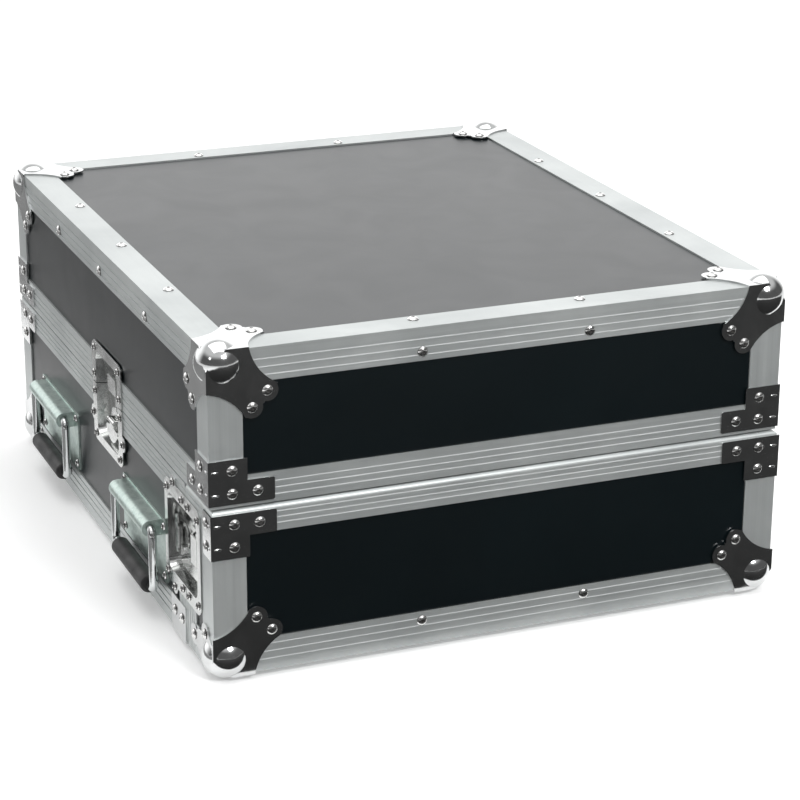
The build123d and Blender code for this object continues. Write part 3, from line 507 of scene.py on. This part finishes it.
def brace_gussets(body, node, corners, open_z):
    """Two ridges on each leg of a shell's upright braces, at the heights of its rivets."""
    bm = bmesh.new()
    low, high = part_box(node)
    for x_side, y_side in corners:
        x = (low.x, high.x)[x_side > 0]
        y = (low.y, high.y)[y_side > 0]
        for height in GUSSET_HEIGHTS:
            z = (high.z - height) if open_z > 0 else (low.z + height)
            on_front = Vector((x - x_side * (BRACE_T + GUSSET_START), y, z))
            gusset(bm, on_front, Vector((-x_side, 0, 0)), Vector((0, 0, 1)), Vector((0, y_side, 0)))
            on_side = Vector((x, y - y_side * (BRACE_T + GUSSET_START), z))
            gusset(bm, on_side, Vector((0, -y_side, 0)), Vector((0, 0, 1)), Vector((x_side, 0, 0)))
    mesh_piece(f"{body}_brace_gussets", bm, body, "chrome_steel")


FRONT_PAIR = ((-1, -1), (1, -1))
BACK_PAIR = ((-1, 1), (1, 1))
brace_gussets("lid", "lid_brace_corners", FRONT_PAIR + BACK_PAIR, -1)
brace_gussets("cover", "cover_brace_corners", FRONT_PAIR, 1)
brace_gussets("base", "base_brace_corners", BACK_PAIR, 1)


# ---------------------------------------------------------------- camera
LENS = 113.48
SENSOR = 36.0
CLIP_END = 60.0
CAMERA_AT = Vector((-0.85277, -2.16240, 0.95825))
YAW, PITCH, ROLL = radians(22.2116), radians(19.9489), radians(-0.36307)


def make_camera():
    """A camera that looks along a yaw and a pitch, slightly rolled."""
    data = bpy.data.cameras.new("camera")
    data.lens = LENS
    data.sensor_width = SENSOR
    data.clip_end = CLIP_END
    forward = Vector((sin(YAW) * cos(PITCH), cos(YAW) * cos(PITCH), -sin(PITCH)))
    level = Vector((cos(YAW), -sin(YAW), 0.0))
    below = forward.cross(level)
    right = level * cos(ROLL) + below * sin(ROLL)
    down = below * cos(ROLL) - level * sin(ROLL)
    camera = bpy.data.objects.new("camera", data)
    bpy.context.scene.collection.objects.link(camera)
    turn = Matrix((right, -down, -forward)).transposed()
    camera.matrix_world = Matrix.Translation(CAMERA_AT) @ turn.to_4x4()
    bpy.context.scene.camera = camera


make_camera()


# ---------------------------------------------------------------- studio
def sheet_object(name, width, length, material):
    """A level rectangle of the stage, centred on the origin."""
    bm = bmesh.new()
    bmesh.ops.create_grid(bm, x_segments=8, y_segments=8, size=0.5)
    mesh = bpy.data.meshes.new(name)
    bm.to_mesh(mesh)
    bm.free()
    obj = bpy.data.objects.new(name, mesh)
    obj.scale = (width, length, 1)
    bpy.context.scene.collection.objects.link(obj)
    mesh.materials.append(material)
    return obj


def floor_paint():
    shader = Shader("floor_paint")
    cloud = shader.noise(2.0, detail=3.0)
    shader.colour(shader.ramp(cloud, [(0.3, (0.93, 0.93, 0.93)), (0.7, (0.96, 0.96, 0.96))]))
    shader.set(Roughness=0.9, Emission_Color=(1.0, 1.0, 1.0, 1.0), Emission_Strength=0.20)
    return shader.material


def cloth(name, shade):
    shader = Shader(name)
    nap = shader.noise(60.0, detail=3.0)
    shader.colour(shader.ramp(nap, [(0.3, 0.8 * shade), (0.7, shade)]))
    shader.set(Roughness=1.0)
    return shader.material


def reflector_only(obj):
    """The card darkens reflections, and is otherwise not there."""
    obj.visible_camera = False
    obj.visible_diffuse = False
    obj.visible_shadow = False
    obj.visible_transmission = False


def area_light(name, at, target, size, power):
    """A rectangular light at one place, facing another, with its power in watts."""
    data = bpy.data.lights.new(name, "AREA")
    data.shape = "RECTANGLE"
    data.size, data.size_y = size
    data.energy = power
    light = bpy.data.objects.new(name, data)
    bpy.context.scene.collection.objects.link(light)
    light.location = at
    light.rotation_euler = (Vector(target) - Vector(at)).to_track_quat("-Z", "Y").to_euler()


def flag(name, x_span, y_span, material):
    """A cloth on the floor that only shiny things see."""
    width, length = x_span[1] - x_span[0], y_span[1] - y_span[0]
    card = sheet_object(name, width, length, material)
    card.location = (sum(x_span) / 2, sum(y_span) / 2, FLAG_LIFT)
    reflector_only(card)


SKY_UP = 0.72
SKY_BACK = 1.55
SKY_FRONT = 0.12
SKY_TURN = (0.1, 0.8)    # from the front's level to the back's, by direction along Y
SKY_RISE = (0.45, 0.75)  # from the horizon's level to the zenith's, by direction along Z
FLOOR_SIZE = 60.0
FLAG_EDGE = -0.335       # where the two cloths meet, just in front of the case
FLAG_LIFT = 1 * MM


def make_world():
    """A soft surround: bright above and behind, dim in front."""
    world = bpy.data.worlds.new("studio")
    world.use_nodes = True
    tree = world.node_tree
    background = tree.nodes["Background"]
    place = tree.nodes.new("ShaderNodeTexCoord")
    parts = tree.nodes.new("ShaderNodeSeparateXYZ")
    tree.links.new(place.outputs["Generated"], parts.inputs["Vector"])

    def blend_by(source, span, low, high):
        """low to high, smoothly, as the source crosses the span."""
        node = tree.nodes.new("ShaderNodeMapRange")
        node.interpolation_type = "SMOOTHSTEP"
        for name, value in zip(("From Min", "From Max"), span):
            node.inputs[name].default_value = value
        for name, value in (("To Min", low), ("To Max", high)):
            if isinstance(value, float):
                node.inputs[name].default_value = value
            else:
                tree.links.new(value, node.inputs[name])
        tree.links.new(source, node.inputs["Value"])
        return node.outputs["Result"]

    around = blend_by(parts.outputs["Y"], SKY_TURN, SKY_FRONT, SKY_BACK)
    sky = blend_by(parts.outputs["Z"], SKY_RISE, around, SKY_UP)
    tree.links.new(sky, background.inputs["Strength"])
    background.inputs["Color"].default_value = (1.0, 1.0, 1.0, 1.0)
    bpy.context.scene.world = world


def make_studio():
    """A white floor, two cloths that darken the case's reflections, and three soft lights."""
    sheet_object("floor", FLOOR_SIZE, FLOOR_SIZE, floor_paint())
    flag("front_flag", (-0.9, 3.0), (-3.2, FLAG_EDGE), cloth("black_cloth", 0.012))
    flag("left_flag", (-2.2, -0.37), (FLAG_EDGE, 3.0), cloth("grey_cloth", 0.245))
    area_light("overhead", at=(0.0, 0.1, 3.0), target=(0, 0.1, 0.2), size=(3.0, 3.0), power=46.0)
    area_light("key", at=(0.5, -2.5, 2.2), target=(0, -0.3, 0.15), size=(0.9, 0.5), power=46.0)
    area_light("side", at=(-2.2, -1.4, 1.6), target=(-0.2, -0.2, 0.2), size=(0.4, 0.4), power=1.5)
    make_world()
    bpy.context.scene.view_settings.view_transform = "Standard"


make_studio()
